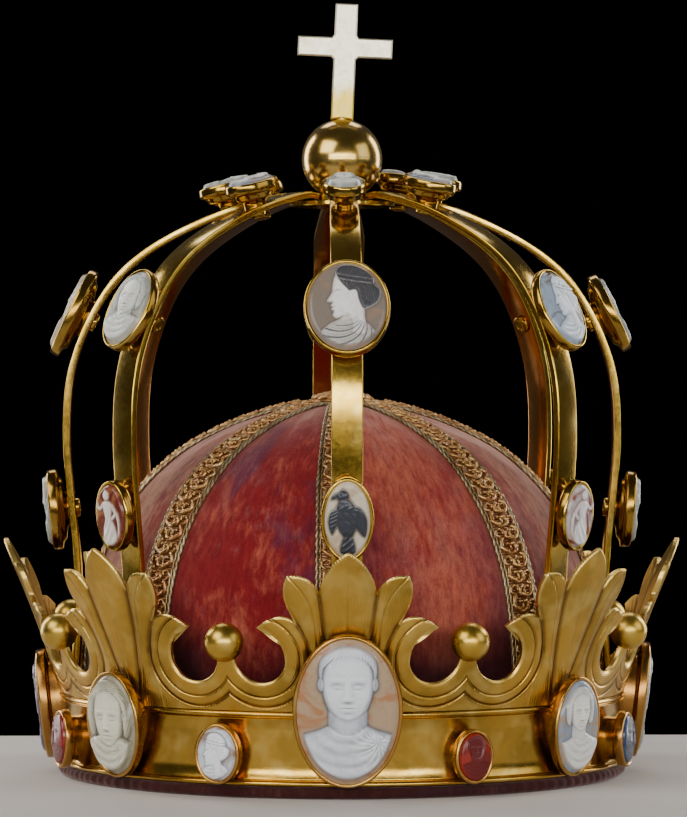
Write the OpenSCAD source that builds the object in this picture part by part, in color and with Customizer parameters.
// Arched crown: a jewelled gold circlet with a leaf crest, eight arches, a globe, a cross and a
// velvet cap. Millimetres, +Z up, the front towards -Y, the underside of the hem at Z = 0.

/* [Circlet] */
// Outer radius of the band, without its mouldings
band_r = 90.5; // [80:0.5:105]
// Height of the band
band_h = 22.3; // [17:0.1:32]
// Thickness of the band's gold sheet
band_wall = 1.4; // [1:0.1:2.2]
// Radius of the half-round moulding along each edge of the band
bead_r = 0.8; // [0.5:0.1:1.5]
// Thickness of the velvet roll under the band
hem_h = 3.5; // [2:0.1:6]
// How far the velvet roll stands out past the band
hem_proud = 0.6; // [0:0.1:1.5]

/* [Crest] */
// Height of the crest from the top of the band to its leaf tips
crest_h = 48.5; // [38:0.5:60]
// How far the leaf tips lean out past the band
crest_flare = 18.3; // [10:0.1:26]
// Thickness of the crest's gold sheet
crest_wall = 1.4; // [1:0.1:2.4]
// Height of the flange that goes down inside the band
flange_h = 4.5; // [3:0.1:8]
// Thickness of that flange
flange_wall = 1; // [0.7:0.1:1.6]
// Half the width of a fleuron, to the tip of its lowest leaf
fleuron_reach = 27.2; // [22:0.1:29]
// How much the raised leaves stand out from the sheet
leaf_rise = 0.8; // [0.4:0.1:1.4]
// Radius of a round scoop between a fleuron and a ball
scoop_r = 8; // [6:0.1:9]
// Height of the sheet that is left between a scoop and the band
scoop_floor = 8.7; // [6:0.1:12]
// Width of a ball's stem at its narrowest
stem_w = 5.4; // [4:0.1:7]
// Diameter of a ball
ball_d = 11.8; // [9:0.1:14]

/* [Arches] */
// Height of the arches' top face, where they meet
arch_h = 185.4; // [165:0.5:210]
// Width of an arch's strap at its foot
strap_w = 9.5; // [7:0.1:12]
// Width of a strap where the arches meet
strap_top_w = 8.4; // [6:0.1:10]
// Width of the rear arch's strap at its foot
rear_w = 17; // [10:0.5:20]
// Thickness of a strap
strap_t = 2.2; // [1.6:0.1:3]
// Angle from the front arch to the next one, and from the rear arch to the next one
arch_turn = 50; // [42:0.5:52]
// Radius of the nut boss behind each setting
nut_r = 3; // [2:0.1:4]
// Height of that boss
nut_h = 1.4; // [0.8:0.1:2.4]

/* [Globe and cross] */
// Thickness of the flange that the strap ends lie on
hub_t = 1.6; // [1:0.1:3]
// Diameter of the globe
globe_d = 26; // [20:0.5:32]
// Height of the cross above the globe
cross_h = 37; // [30:0.5:50]
// Span of the cross's arms
cross_span = 30.5; // [22:0.5:38]
// Width of the cross's upright
cross_w = 7.2; // [5:0.1:10]
// Height of the cross's arms
cross_arm_h = 6.2; // [4:0.1:9]
// Thickness of the cross
cross_t = 2.8; // [2:0.1:4]
// Radius of the tang that holds the cross in the globe
tang_r = 1.8; // [1.2:0.1:2.4]
// Length of that tang
tang_h = 8; // [5:0.5:10]
// Lean of the cross towards the right
cross_lean = 2.5; // [0:0.5:5]

/* [Cap] */
// Height of the velvet dome's top
cap_h = 118.5; // [95:0.5:135]
// Thickness of the velvet and its backing
cap_wall = 2; // [1.4:0.1:3]
// How much the middle of a gore swells past its seams
gore_swell = 1.2; // [0:0.1:3]
// Width of a braid at the foot of the cap
braid_w = 13.5; // [9:0.1:17]
// Width of a braid at the top of the cap
braid_top_w = 7.5; // [5:0.1:10]
// Thickness of a braid
braid_t = 1.8; // [1.2:0.1:3]
// Turn of the cap in the gold, against the crest
cap_turn = -2; // [-6:0.5:6]
// Radius of the knot where the braids meet
knot_r = 10; // [7:0.5:14]
// Height of that knot
knot_h = 2.6; // [1.5:0.1:5]

/* [Stones and settings] */
// Width of the largest setting, in front over the band
big_w = 33; // [26:0.5:36]
// Height of the largest setting
big_h = 47; // [34:0.5:50]
// Width of the widest small setting on the band
small_w = 15; // [11:0.5:18]
// Height of the tallest small setting on the band
small_h = 18.5; // [14:0.5:21]
// How far the back of a small setting stands off the band
small_back = 2.8; // [2:0.1:5]
// Width of the widest low setting on the arches
low_w = 18; // [13:0.5:22]
// Height of the tallest low setting on the arches
low_h = 26; // [20:0.5:30]
// Width of the widest middle setting on the arches
mid_w = 26.4; // [20:0.5:30]
// Height of the tallest middle setting on the arches
mid_h = 32; // [26:0.5:36]
// Width of a top setting on the arches
top_w = 14; // [11:0.5:17]
// Length of a top setting on the arches
top_h = 19; // [15:0.5:23]
// Depth of a setting's outer ring
bezel_h = 3.2; // [2.6:0.1:4.5]
// Thickness of that ring
bezel_wall = 1.1; // [0.8:0.1:1.6]
// Thickness of the floor under a stone
bezel_floor = 0.8; // [0.5:0.1:1.2]
// How far an arch setting's rim stands off its strap
collet_h = 6; // [5:0.1:9]
// How far the rim of a top setting stands off its strap
top_collet_h = 7.5; // [5:0.1:9]
// How many degrees a top setting is levelled against the slope of its strap
top_level = 5; // [0:0.5:8]
// Height of the carved relief above a stone's table
relief_h = 1.5; // [0.8:0.1:2.4]
// Height of a stone's table above its setting's rim
table_rise = 0.7; // [0.3:0.1:1.5]

/* [Clearances] */
// Gap between two pieces of the crown
fit_gap = 0.2; // [0.1:0.05:0.3]
// Gap between a stone and its setting
stone_gap = 0.1; // [0.05:0.01:0.2]
// Gap between the soft pieces and what they touch
soft_gap = 0.3; // [0.2:0.05:0.6]

/* [Hidden] */
COUNT = 8;
PITCH = 360 / COUNT;
RIM = 0.01;
IDS = [for (i = [1 : COUNT]) i];

// Colours
GOLD = [0.78, 0.6, 0.24];
GLOBE_GOLD = [0.84, 0.66, 0.28];
VELVET = [0.5, 0.09, 0.12];
HEM_VELVET = [0.42, 0.1, 0.18];
BULLION = [0.72, 0.5, 0.26];
WHITE_STONE = [0.86, 0.86, 0.84];
MILK_STONE = [0.9, 0.87, 0.84];
GREY_STONE = [0.62, 0.64, 0.6];
RED_STONE = [0.5, 0.05, 0.07];
BLUE_STONE = [0.08, 0.12, 0.26];
CREAM_STONE = [0.78, 0.7, 0.58];
DARK_STONE = [0.2, 0.17, 0.19];

// Radii from the band inwards: band, crest flange, strap, braid, cap
band_z = hem_h + fit_gap;
band_top = band_z + band_h;
flange_r = band_r - band_wall - fit_gap;
arch_room = flange_r - flange_wall - fit_gap;
arch_r = sqrt(pow(arch_room, 2) - pow(max(strap_w, rear_w) / 2, 2));
cap_r = arch_r - strap_t - fit_gap - braid_t - soft_gap;
cap_z = hem_h + soft_gap;
crest_z = band_top + fit_gap;
scoop_z = crest_z + scoop_floor + scoop_r;
scoop_mid_r = band_r + crest_flare * 0.28;
scoop_turn = asin((stem_w / 2 + scoop_r) / scoop_mid_r);
ball_z = scoop_z + ball_d * 0.35;
seat_z = band_z + 0.5;
globe_z = arch_h + 0.87 * globe_d / 2;

// Outer radius of the crest at a height above the hem's underside
function crest_t(z) = (z - band_top) / crest_h;
function crest_r(z) = band_r + crest_flare * (0.717 * crest_t(z) + 0.283 * pow(crest_t(z), 2));

// Point on an oval, and a smooth curve through the rows of a table of points
function oval_points(w, h, n = 28) =
    [for (i = [0 : n - 1]) [w / 2 * cos(i * 360 / n), h / 2 * sin(i * 360 / n)]];
function row(table, i) = table[max(0, min(len(table) - 1, i))];
function spline(a, b, c, d, t) =
    b + 0.5 * t * (c - a + t * (2 * a - 5 * b + 4 * c - d + t * (3 * (b - c) + d - a)));
function curve_at(table, t) =
    let (i = min(floor(t), len(table) - 2))
    spline(row(table, i - 1), row(table, i), row(table, i + 1), row(table, i + 2), t - i);
function slope_at(table, t) =
    let (d = curve_at(table, min(t + RIM, len(table) - 1)) - curve_at(table, max(t - RIM, 0))) d / norm(d);
function both_sides(half) = concat(half, [for (i = [len(half) - 1 : -1 : 1]) [-half[i][0], half[i][1]]]);
function bend(a, b, c, steps = 6) = [for (i = [0 : steps - 1])
    let (t = i / steps) (1 - t) * (1 - t) * a + 2 * t * (1 - t) * b + t * t * c];

// Arch centre line: radius as a share of arch_r, height as a share of arch_h. The settings' places on it are
// counted in its rows
ARCH_LOW = 4;
ARCH_MID = 7.06;
ARCH_ROWS = [
    // radius, height
    [1.000, 0.040],
    [1.000, 0.120],
    [0.984, 0.240],
    [0.986, 0.355],
    [1.007, 0.455],
    [1.027, 0.570],
    [1.014, 0.682],
    [0.947, 0.778],
    [0.834, 0.860],
    [0.676, 0.920],
    [0.440, 0.973]];
spread = min(arch_turn, 90 - arch_turn) / 2;
hub_r = (strap_top_w / 2 + fit_gap) / sin(spread);
strap_end = hub_r + fit_gap;
flange_reach = 4;
ARCH = concat([for (p = ARCH_ROWS) [p[0] * arch_r, p[1] * arch_h]],
    [[strap_end + 1.75 * flange_reach, arch_h], [strap_end, arch_h]]);
ARCH_STEPS = 3;
ARCH_AT = [for (i = [0 : (len(ARCH) - 1) * ARCH_STEPS]) i / ARCH_STEPS];
ARCH_TURNS = [0, arch_turn, 90, 180 - arch_turn, 180, 180 + arch_turn, 270, 360 - arch_turn];
REAR = 4;
function arch_foot_w(i) = i == REAR ? rear_w : strap_w;
function arch_in(t) = let (d = slope_at(ARCH, t)) curve_at(ARCH, t) - strap_t * [d[1], -d[0]];

// Cap: radius as a share of cap_r, height as a share of cap_h
CAP_ROWS = [
    // radius, height
    [0.990, 0.240],
    [0.978, 0.380],
    [0.948, 0.510],
    [0.905, 0.605],
    [0.846, 0.688],
    [0.782, 0.752],
    [0.703, 0.812],
    [0.601, 0.870],
    [0.481, 0.916],
    [0.361, 0.951],
    [0.192, 0.985],
    [0.000, 1.000]];
CAP = concat([[cap_r, cap_z]], [for (p = CAP_ROWS) [p[0] * cap_r, p[1] * cap_h]]);
function cap_normal(i) =
    let (d = row(CAP, i + 1) - row(CAP, i - 1))
    i == 0 ? [1, 0] : i == len(CAP) - 1 ? [0, 1] : [d[1], -d[0]] / norm(d);
function cap_offset(d) = [for (i = [0 : len(CAP) - 1]) CAP[i] + d * cap_normal(i)];
GORE_SIDES = 6;

// Fleuron, half outline: reach as a share of fleuron_reach, height as a share of crest_h
FLEURON = [
    // start of an edge, its control point, both as reach and height
    [[0.000, 1.000], [0.265, 0.918]],
    [[0.320, 0.746], [0.423, 0.876]],
    [[0.669, 0.852], [0.790, 0.722]],
    [[0.563, 0.561], [0.754, 0.649]],
    [[1.000, 0.528], [0.735, 0.480]]];
function fleuron_at(p) = [p[0] * fleuron_reach, crest_z + p[1] * crest_h];
BITE = 0.3;
sheet_foot = crest_z + scoop_floor / 2;
root_half = scoop_mid_r * sin(PITCH / 2 - scoop_turn) - scoop_r + BITE;
FLEURON_ROOT = [root_half, scoop_z];
FLEURON_HALF = concat([for (i = [0 : len(FLEURON) - 1]) each
    bend(fleuron_at(FLEURON[i][0]), fleuron_at(FLEURON[i][1]),
        i < len(FLEURON) - 1 ? fleuron_at(FLEURON[i + 1][0]) : FLEURON_ROOT)],
    [FLEURON_ROOT, [root_half, sheet_foot]]);

// Settings on the band: width and height as shares of the named sizes, kind and colour of the stone, and how
// many degrees it sits off its even place, as the handmade crown has it
BUST = 0;
PROFILE = 1;
FIGURE = 2;
BIRD = 3;
SEAL = 4;
BIG = [
    // width, height, kind, colour, turn
    [1.00, 1.00, BUST, MILK_STONE, 0],
    [0.67, 0.66, BUST, WHITE_STONE, 3],
    [0.73, 0.80, PROFILE, GREY_STONE, 0],
    [0.73, 0.72, BUST, CREAM_STONE, 0],
    [0.85, 0.81, PROFILE, WHITE_STONE, 0],
    [0.73, 0.72, BUST, GREY_STONE, 0],
    [0.76, 0.75, PROFILE, DARK_STONE, 0],
    [0.74, 0.70, BUST, GREY_STONE, -3]];
SMALL = [
    // width, height, kind, colour, turn
    [0.87, 0.90, SEAL, RED_STONE, 1],
    [0.93, 0.96, SEAL, BLUE_STONE, 0],
    [0.92, 0.94, PROFILE, GREY_STONE, 0],
    [0.92, 0.94, SEAL, RED_STONE, 0],
    [0.92, 0.94, PROFILE, WHITE_STONE, 0],
    [0.92, 0.94, SEAL, BLUE_STONE, 0],
    [0.95, 1.00, SEAL, RED_STONE, 0],
    [1.00, 1.00, PROFILE, WHITE_STONE, -1.5]];
LOWER = [
    // width, height, kind, colour
    [0.90, 0.98, BIRD, CREAM_STONE],
    [0.88, 0.85, FIGURE, WHITE_STONE],
    [0.95, 0.95, BUST, GREY_STONE],
    [0.90, 0.90, PROFILE, WHITE_STONE],
    [0.90, 0.92, FIGURE, CREAM_STONE],
    [0.90, 0.90, PROFILE, GREY_STONE],
    [1.00, 1.00, BUST, GREY_STONE],
    [0.88, 0.85, FIGURE, RED_STONE]];
MIDDLE = [
    // width, height, kind, colour
    [1.00, 1.00, PROFILE, CREAM_STONE],
    [0.77, 0.86, FIGURE, DARK_STONE],
    [0.76, 0.84, BUST, GREY_STONE],
    [0.77, 0.84, PROFILE, WHITE_STONE],
    [0.85, 0.88, PROFILE, WHITE_STONE],
    [0.77, 0.84, BUST, GREY_STONE],
    [0.80, 0.94, BUST, CREAM_STONE],
    [0.77, 0.86, FIGURE, GREY_STONE]];
TOP = [
    // width, height, kind, colour, place on the arch
    [1.00, 1.00, BUST, GREY_STONE, 10.0],
    [1.00, 1.00, PROFILE, WHITE_STONE, 10.2],
    [1.00, 1.00, FIGURE, GREY_STONE, 10.5],
    [1.00, 1.00, BUST, WHITE_STONE, 10.7],
    [1.00, 1.00, PROFILE, GREY_STONE, 10.2],
    [1.00, 1.00, FIGURE, WHITE_STONE, 10.2],
    [1.00, 1.00, BUST, GREY_STONE, 10.15],
    [1.00, 1.00, PROFILE, WHITE_STONE, 10.1]];
FOOT_SHARE = 0.42;
CUP_SHARE = 0.76;
TABLE_SHARE = 0.9;
COLLET_SINK = 0.45 * strap_t;
stone_seat = bezel_floor + stone_gap;
girdle_h = bezel_h - stone_seat;

// Back of a large setting: it leans out with the crest, from the band's moulding to the sheet above
function big_size(i) = [BIG[i][0] * big_w, BIG[i][1] * big_h];
function big_top(i) = seat_z + big_size(i)[1];
function big_foot_r() = band_r + bead_r + fit_gap;
function big_lean(i) = atan((crest_r(big_top(i)) + leaf_rise + fit_gap - big_foot_r()) / big_size(i)[1]);
function big_back_r(i) = big_foot_r() + sin(big_lean(i)) * big_size(i)[1] / 2;
function big_mid_z(i) = seat_z + cos(big_lean(i)) * big_size(i)[1] / 2;
function big_reach(i) = big_back_r(i) - band_r + band_wall;
small_reach = small_back + band_wall / 2;
function small_size(i) = [SMALL[i][0] * small_w, SMALL[i][1] * small_h];

// Puts a child, drawn facing +Z, on the crown: turn round the axis, radius, height, upward tilt
module place(turn, r, z, tilt = 0) {
    rotate([0, 0, turn]) translate([0, -r, z]) rotate([90 - tilt, 0, 0]) children();
}

module place_big(i) {
    place(i * PITCH + BIG[i][4], big_back_r(i), big_mid_z(i), -big_lean(i)) children();
}

module place_small(i) {
    place((i + 0.5) * PITCH + SMALL[i][4], band_r + small_back, seat_z + small_size(i)[1] / 2) children();
}

module place_on_arch(i, at, level = 0) {
    p = curve_at(ARCH, at);
    d = slope_at(ARCH, at);
    place(ARCH_TURNS[i], p[0], p[1], atan2(-d[0], d[1]) + level) children();
}

module oval(w, h) {
    polygon(oval_points(w, h));
}

// The ring and floor that hold a stone, its back at Z = 0
module bezel(w, h) {
    difference() {
        linear_extrude(bezel_h) oval(w, h);
        translate([0, 0, bezel_floor]) linear_extrude(bezel_h) oval(w - 2 * bezel_wall, h - 2 * bezel_wall);
    }
}

// A setting on a strap: foot, stepped cup and bezel, with its nut boss behind the strap
module arch_collet(i, at, w, h, stand = collet_h, level = 0) {
    place_on_arch(i, at, level) {
        back = stand - bezel_h;
        translate([0, 0, -COLLET_SINK]) linear_extrude(back + COLLET_SINK + RIM)
            oval(w * FOOT_SHARE, h * FOOT_SHARE);
        translate([0, 0, back / 2]) linear_extrude(back / 2 + RIM) oval(w * CUP_SHARE, h * CUP_SHARE);
        translate([0, 0, back]) bezel(w, h);
        translate([0, 0, -strap_t - nut_h]) cylinder(r = nut_r, h = nut_h + COLLET_SINK, $fn = 24);
    }
}

// Raised carvings, drawn on a stone's table in an oval w by h, with the relief t high
module bust_relief(w, h, t) {
    linear_extrude(0.7 * t) polygon(concat(
        [for (a = [200 : 20 : 340]) [0.42 * w * cos(a), 0.44 * h * sin(a)]],
        [[0.3 * w, -0.12 * h], [0.1 * w, -0.05 * h], [-0.1 * w, -0.05 * h], [-0.3 * w, -0.12 * h]]));
    linear_extrude(0.8 * t) translate([-0.09 * w, -0.16 * h]) square([0.18 * w, 0.24 * h]);
    translate([0, 0.15 * h, 0]) linear_extrude(0.8 * t) oval(0.36 * w, 0.36 * h);
    translate([0, 0.14 * h, 0]) linear_extrude(t) oval(0.24 * w, 0.26 * h);
}

module profile_relief(w, h, t) {
    linear_extrude(0.7 * t) polygon(concat(
        [for (a = [200 : 20 : 340]) [0.42 * w * cos(a), 0.44 * h * sin(a)]],
        [[0.26 * w, -0.14 * h], [0.1 * w, -0.06 * h], [-0.08 * w, -0.06 * h], [-0.28 * w, -0.2 * h]]));
    linear_extrude(0.8 * t) polygon([[-0.08 * w, -0.2 * h], [0.12 * w, -0.2 * h], [0.14 * w, 0.1 * h],
        [-0.18 * w, 0.3 * h], [-0.2 * w, 0.16 * h], [-0.25 * w, 0.09 * h], [-0.19 * w, 0.06 * h],
        [-0.18 * w, -0.04 * h], [-0.08 * w, -0.07 * h]]);
    translate([0.02 * w, 0.2 * h, 0]) cylinder(r = 0.2 * w, h = t, $fn = 24);
    translate([0.24 * w, 0.14 * h, 0]) cylinder(r = 0.09 * w, h = 0.9 * t, $fn = 16);
}

module figure_relief(w, h, t) {
    linear_extrude(0.8 * t) polygon([[-0.2 * w, -0.38 * h], [0.2 * w, -0.38 * h], [0.16 * w, -0.1 * h],
        [0.2 * w, 0.14 * h], [0.1 * w, 0.2 * h], [-0.1 * w, 0.2 * h], [-0.22 * w, 0.1 * h],
        [-0.13 * w, -0.08 * h]]);
    linear_extrude(t) polygon([[-0.06 * w, -0.34 * h], [0.08 * w, -0.34 * h], [0.06 * w, 0.12 * h],
        [-0.06 * w, 0.12 * h]]);
    translate([0, 0.28 * h, 0]) cylinder(r = 0.1 * h, h = t, $fn = 20);
}

module bird_relief(w, h, t) {
    rotate([0, 0, 20]) linear_extrude(t) oval(0.36 * w, 0.5 * h);
    translate([-0.08 * w, 0.28 * h, 0]) cylinder(r = 0.11 * w, h = t, $fn = 20);
    linear_extrude(0.7 * t) polygon([[0.08 * w, 0.16 * h], [0.34 * w, -0.06 * h], [0.3 * w, -0.3 * h],
        [0.1 * w, -0.2 * h]]);
    linear_extrude(0.6 * t) polygon([[-0.1 * w, -0.2 * h], [0.08 * w, -0.2 * h], [0.14 * w, -0.42 * h],
        [-0.04 * w, -0.42 * h]]);
}

module carving(kind, w, h, t) {
    if (kind == BUST) bust_relief(w, h, t);
    if (kind == PROFILE) profile_relief(w, h, t);
    if (kind == FIGURE) figure_relief(w, h, t);
    if (kind == BIRD) bird_relief(w, h, t);
}

// A stone for a setting w by h: girdle, bevelled step, table and carving; a seal is cut in instead
module stone(w, h, kind) {
    in_w = w - 2 * bezel_wall - 2 * stone_gap;
    in_h = h - 2 * bezel_wall - 2 * stone_gap;
    table_z = stone_seat + girdle_h + table_rise;
    translate([0, 0, stone_seat]) linear_extrude(girdle_h) oval(in_w, in_h);
    if (kind == SEAL) {
        difference() {
            translate([0, 0, stone_seat]) linear_extrude(girdle_h + table_rise)
                oval(in_w * TABLE_SHARE, in_h * TABLE_SHARE);
            translate([0, 0, table_z - table_rise / 2])
                bust_relief(in_w * TABLE_SHARE, in_h * TABLE_SHARE, table_rise);
        }
    } else {
        translate([0, 0, stone_seat]) linear_extrude(girdle_h + table_rise)
            oval(in_w * TABLE_SHARE, in_h * TABLE_SHARE);
        translate([0, 0, table_z - RIM]) carving(kind, in_w * TABLE_SHARE, in_h * TABLE_SHARE, relief_h);
    }
}

// The velvet roll: flat underneath, rounded outside, carrying the band and the cap
module hem() {
    in_r = cap_r - cap_wall;
    out_r = band_r + hem_proud;
    round_r = hem_h / 2;
    color(HEM_VELVET) rotate_extrude($fn = 96) polygon(concat(
        [[in_r, 0], [out_r - round_r / 2, 0]],
        [for (a = [-60 : 30 : 60]) [out_r - round_r / 2 + round_r / 2 * cos(a), round_r + round_r * sin(a)]],
        [[out_r - round_r / 2, hem_h], [in_r, hem_h]]));
}

// The plain band with its mouldings and the sixteen settings soldered to it
module band() {
    color(GOLD) {
        rotate_extrude($fn = 96) {
            translate([band_r - band_wall, band_z]) square([band_wall, band_h]);
            for (z = [band_z + bead_r, band_top - bead_r])
                translate([band_r - bead_r / 4, z]) circle(r = bead_r, $fn = 24);
        }
        for (i = [0 : COUNT - 1]) {
            place_big(i) bezel(big_size(i)[0], big_size(i)[1]);
            intersection() {
                place_big(i) translate([0, 0, -big_reach(i)]) linear_extrude(big_reach(i) + RIM)
                    oval(big_size(i)[0] * CUP_SHARE, big_size(i)[1] * CUP_SHARE);
                difference() {
                    cylinder(r = 2 * band_r, h = band_top, $fn = 96);
                    cylinder(r = band_r - band_wall / 2, h = band_top, $fn = 96);
                }
            }
            place_small(i) {
                bezel(small_size(i)[0], small_size(i)[1]);
                translate([0, 0, -small_reach]) linear_extrude(small_reach + RIM)
                    oval(small_size(i)[0] * CUP_SHARE, small_size(i)[1] * CUP_SHARE);
            }
        }
    }
}

// The flared sheet that the crest is cut from, its outer face proud by the rise
module crest_sheet(rise) {
    steps = 5;
    top = crest_z + crest_h + 1;
    zs = [for (i = [0 : steps]) crest_z + (top - crest_z) * i / steps];
    rotate_extrude($fn = 96) polygon(concat(
        [for (z = zs) [crest_r(z) + rise, z]],
        [for (i = [steps : -1 : 0]) [crest_r(zs[i]) - crest_wall, zs[i]]]));
}

// Cuts a shape, drawn as reach and height, outwards through the sheet
module through_sheet(turn) {
    rotate([0, 0, turn]) rotate([90, 0, 0]) linear_extrude(band_r + crest_flare + 2 * ball_d) children();
}

module fleuron_outline() {
    polygon(both_sides(FLEURON_HALF));
}

// The middle leaf and its keel, raised on the sheet
module leaf_outline() {
    half = concat(bend(fleuron_at([0, 0.985]), fleuron_at([0.25, 0.905]), fleuron_at([0.3, 0.74])),
        bend(fleuron_at([0.3, 0.74]), fleuron_at([0.28, 0.5]), fleuron_at([0.12, 0.2])),
        [fleuron_at([0.12, 0.2])]);
    polygon(both_sides(half));
}

// A ball's stem between two round scoops, down to the sheet's plain foot
module stem_outline() {
    reach = stem_w / 2 + scoop_r;
    edge = reach + scoop_r + BITE * 4;
    dip = [for (a = [180 : 18 : 360]) scoop_r * [cos(a), sin(a)]];
    polygon(concat([[-edge, sheet_foot], [-edge, scoop_z]], [for (p = dip) p + [-reach, scoop_z]],
        [[-stem_w / 2, ball_z], [stem_w / 2, ball_z]], [for (p = dip) p + [reach, scoop_z]],
        [[edge, scoop_z], [edge, sheet_foot]]));
}

// The leaf crest: eight fleurons, eight balls on stems and sixteen scoops, with the flange inside the band
module crest() {
    color(GOLD) {
        intersection() {
            crest_sheet(0);
            union() {
                cylinder(r = band_r + crest_flare, h = crest_z + 0.75 * scoop_floor, $fn = 96);
                for (i = [0 : COUNT - 1]) {
                    through_sheet(i * PITCH) fleuron_outline();
                    through_sheet((i + 0.5) * PITCH) stem_outline();
                }
            }
        }
        intersection() {
            crest_sheet(leaf_rise);
            union() for (i = [0 : COUNT - 1]) through_sheet(i * PITCH) leaf_outline();
        }
        for (i = [0 : COUNT - 1]) rotate([0, 0, (i + 0.5) * PITCH])
            translate([0, crest_wall / 2 - crest_r(ball_z), ball_z]) sphere(d = ball_d, $fn = 32);
        rotate_extrude($fn = 96) {
            translate([flange_r - flange_wall, band_top - flange_h])
                square([flange_wall, flange_h + 2 * fit_gap + 1]);
            translate([flange_r - flange_wall, crest_z]) square([band_r - flange_r + flange_wall, 1]);
        }
    }
}

// One arch: the bent strap, narrowing to the hub, with its three settings
module arch(i) {
    outer = [for (t = ARCH_AT) curve_at(ARCH, t)];
    inner = [for (t = ARCH_AT) arch_in(t)];
    foot_w = arch_foot_w(i);
    far = 1.2 * arch_r;
    shoulder = 0.6 * arch_r;
    color(GOLD) {
        intersection() {
            rotate([0, 0, ARCH_TURNS[i] - 90]) rotate([90, 0, 0]) linear_extrude(2 * foot_w, center = true)
                polygon(concat(outer, [for (k = [len(inner) - 1 : -1 : 0]) inner[k]]));
            rotate([0, 0, ARCH_TURNS[i] - 90]) linear_extrude(1.1 * arch_h) polygon([
                [strap_end, -strap_top_w / 2], [shoulder, -foot_w / 2], [far, -foot_w / 2],
                [far, foot_w / 2], [shoulder, foot_w / 2], [strap_end, strap_top_w / 2]]);
        }
        arch_collet(i, ARCH_LOW, LOWER[i][0] * low_w, LOWER[i][1] * low_h);
        arch_collet(i, ARCH_MID, MIDDLE[i][0] * mid_w, MIDDLE[i][1] * mid_h);
        arch_collet(i, TOP[i][4], TOP[i][0] * top_w, TOP[i][1] * top_h, top_collet_h, top_level);
    }
}

// The disc between the strap ends, dished for the globe, with the flange that the ends lie on
module hub() {
    under = arch_h - strap_t - fit_gap;
    color(GOLD) difference() {
        union() {
            translate([0, 0, under - hub_t]) cylinder(r = strap_end + flange_reach, h = hub_t, $fn = 64);
            translate([0, 0, under - hub_t]) cylinder(r = hub_r, h = arch_h - under + hub_t, $fn = 64);
        }
        translate([0, 0, globe_z]) sphere(r = globe_d / 2 + fit_gap, $fn = 64);
    }
}

module globe() {
    color(GLOBE_GOLD) difference() {
        translate([0, 0, globe_z]) sphere(d = globe_d, $fn = 64);
        translate([0, 0, globe_z + globe_d / 2 - tang_h - 1])
            cylinder(r = tang_r + fit_gap, h = tang_h + 2, $fn = 32);
    }
}

// The flat cross and its round tang; small fillets fill the corners between the arms
module cross() {
    foot = globe_z + globe_d / 2 + fit_gap;
    arm_z = cross_h * 0.62;
    fillet = 0.12 * cross_w;
    color(GLOBE_GOLD) translate([0, 0, foot]) {
        rotate([0, cross_lean, 0]) rotate([90, 0, 0]) linear_extrude(cross_t, center = true) {
            translate([-cross_w / 2, 0]) square([cross_w, cross_h]);
            translate([-cross_span / 2, arm_z - cross_arm_h / 2]) square([cross_span, cross_arm_h]);
            for (side = [-1, 1]) for (up = [-1, 1])
                translate([side * cross_w / 2, arm_z + up * cross_arm_h / 2])
                    rotate(45) square(2 * fillet, center = true);
        }
        translate([0, 0, -tang_h]) cylinder(r = tang_r, h = tang_h + tang_r, $fn = 32);
    }
}

// The hollow velvet dome, fuller in the middle of each gore than at its seams
module cap() {
    sides = COUNT * GORE_SIDES;
    rows = len(CAP);
    inner = [for (p = cap_offset(-cap_wall)) [max(p[0], 0), p[1]]];
    swell = [for (i = [0 : rows - 1]) gore_swell * sin(180 * i / (rows - 1)) * CAP[i][0] / cap_r];
    function ring(p, s) = [for (k = [0 : sides - 1])
        let (a = 360 * k / sides, r = p[0] + s * (1 - cos(COUNT * a)) / 2) [r * sin(a), -r * cos(a), p[1]]];
    out_pts = [for (i = [0 : rows - 2]) each ring(CAP[i], swell[i])];
    in_pts = [for (i = [0 : rows - 2]) each ring([inner[i][0], i == 0 ? cap_z : inner[i][1]], swell[i])];
    base = len(out_pts);
    tips = [[0, 0, CAP[rows - 1][1]], [0, 0, inner[rows - 1][1]]];
    out_tip = 2 * base;
    in_tip = out_tip + 1;
    last = (rows - 2) * sides;
    faces = concat(
        [for (i = [0 : rows - 3]) for (k = [0 : sides - 1]) let (n = (k + 1) % sides)
            [i * sides + k, (i + 1) * sides + k, (i + 1) * sides + n, i * sides + n]],
        [for (i = [0 : rows - 3]) for (k = [0 : sides - 1]) let (n = (k + 1) % sides)
            [base + i * sides + k, base + i * sides + n,
                base + (i + 1) * sides + n, base + (i + 1) * sides + k]],
        [for (k = [0 : sides - 1]) let (n = (k + 1) % sides) [last + k, out_tip, last + n]],
        [for (k = [0 : sides - 1]) let (n = (k + 1) % sides) [base + last + k, base + last + n, in_tip]],
        [for (k = [0 : sides - 1]) let (n = (k + 1) % sides) [k, n, base + n, base + k]]);
    color(VELVET) rotate([0, 0, cap_turn])
        polyhedron(points = concat(out_pts, in_pts, tips), faces = faces, convexity = 6);
}

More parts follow.
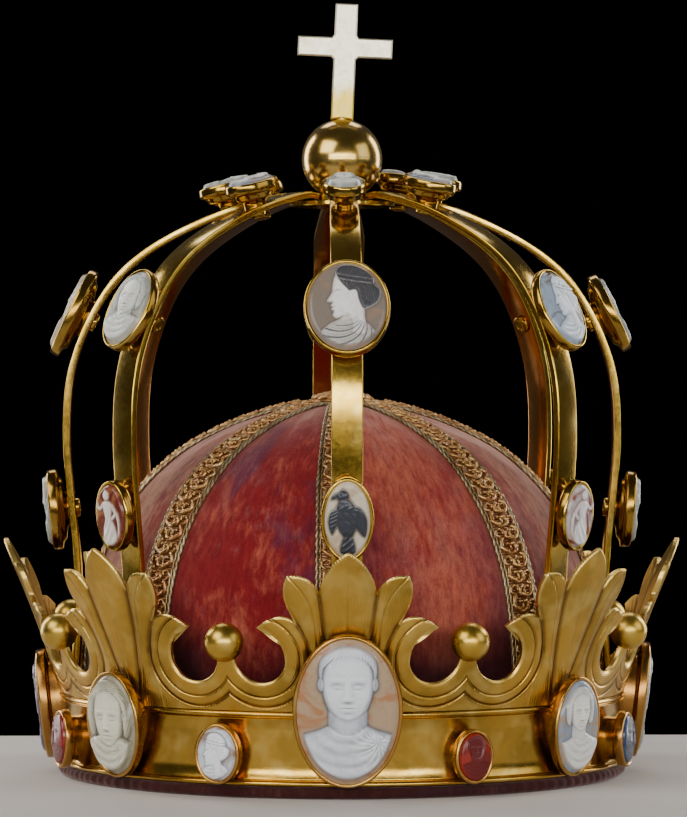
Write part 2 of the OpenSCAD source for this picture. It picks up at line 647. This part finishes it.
// The eight braids over the cap's seams and the knot on top
module braid() {
    under = cap_offset(soft_gap);
    over = cap_offset(soft_gap + braid_t);
    rows = len(CAP);
    arm = [
        [braid_top_w / 2, knot_r], [braid_w / 2, 0.75 * cap_r], [braid_w / 2, cap_r + braid_w],
        [-braid_w / 2, cap_r + braid_w], [-braid_w / 2, 0.75 * cap_r], [-braid_top_w / 2, knot_r]];
    color(BULLION) rotate([0, 0, cap_turn]) {
        intersection() {
            rotate_extrude($fn = 96) polygon(concat(
                [for (i = [0 : rows - 1]) [max(over[i][0], 0), over[i][1]]],
                [for (i = [rows - 1 : -1 : 0]) [max(under[i][0], 0), under[i][1]]]));
            union() for (i = [0 : COUNT / 2 - 1])
                rotate([0, 0, i * PITCH]) linear_extrude(cap_h + knot_h) polygon(concat(arm, -arm));
        }
        translate([0, 0, cap_h + soft_gap]) cylinder(r = knot_r, h = knot_h, $fn = 32);
    }
}

module cameo_band(i) {
    color(BIG[i][3]) place_big(i) stone(big_size(i)[0], big_size(i)[1], BIG[i][2]);
}

module gem(i) {
    color(SMALL[i][3]) place_small(i) stone(small_size(i)[0], small_size(i)[1], SMALL[i][2]);
}

module arch_stone(i, at, w, h, kind, stand = collet_h, level = 0) {
    place_on_arch(i, at, level) translate([0, 0, stand - bezel_h]) stone(w, h, kind);
}

module cameo_low(i) {
    color(LOWER[i][3]) arch_stone(i, ARCH_LOW, LOWER[i][0] * low_w, LOWER[i][1] * low_h, LOWER[i][2]);
}

module cameo_mid(i) {
    color(MIDDLE[i][3]) arch_stone(i, ARCH_MID, MIDDLE[i][0] * mid_w, MIDDLE[i][1] * mid_h, MIDDLE[i][2]);
}

module cameo_top(i) {
    color(TOP[i][3])
        arch_stone(i, TOP[i][4], TOP[i][0] * top_w, TOP[i][1] * top_h, TOP[i][2], top_collet_h, top_level);
}

hem();
band();
crest();
hub();
globe();
cross();
cap();
braid();
for (i = [0 : COUNT - 1]) {
    arch(i);
    cameo_band(i);
    gem(i);
    cameo_low(i);
    cameo_mid(i);
    cameo_top(i);
}
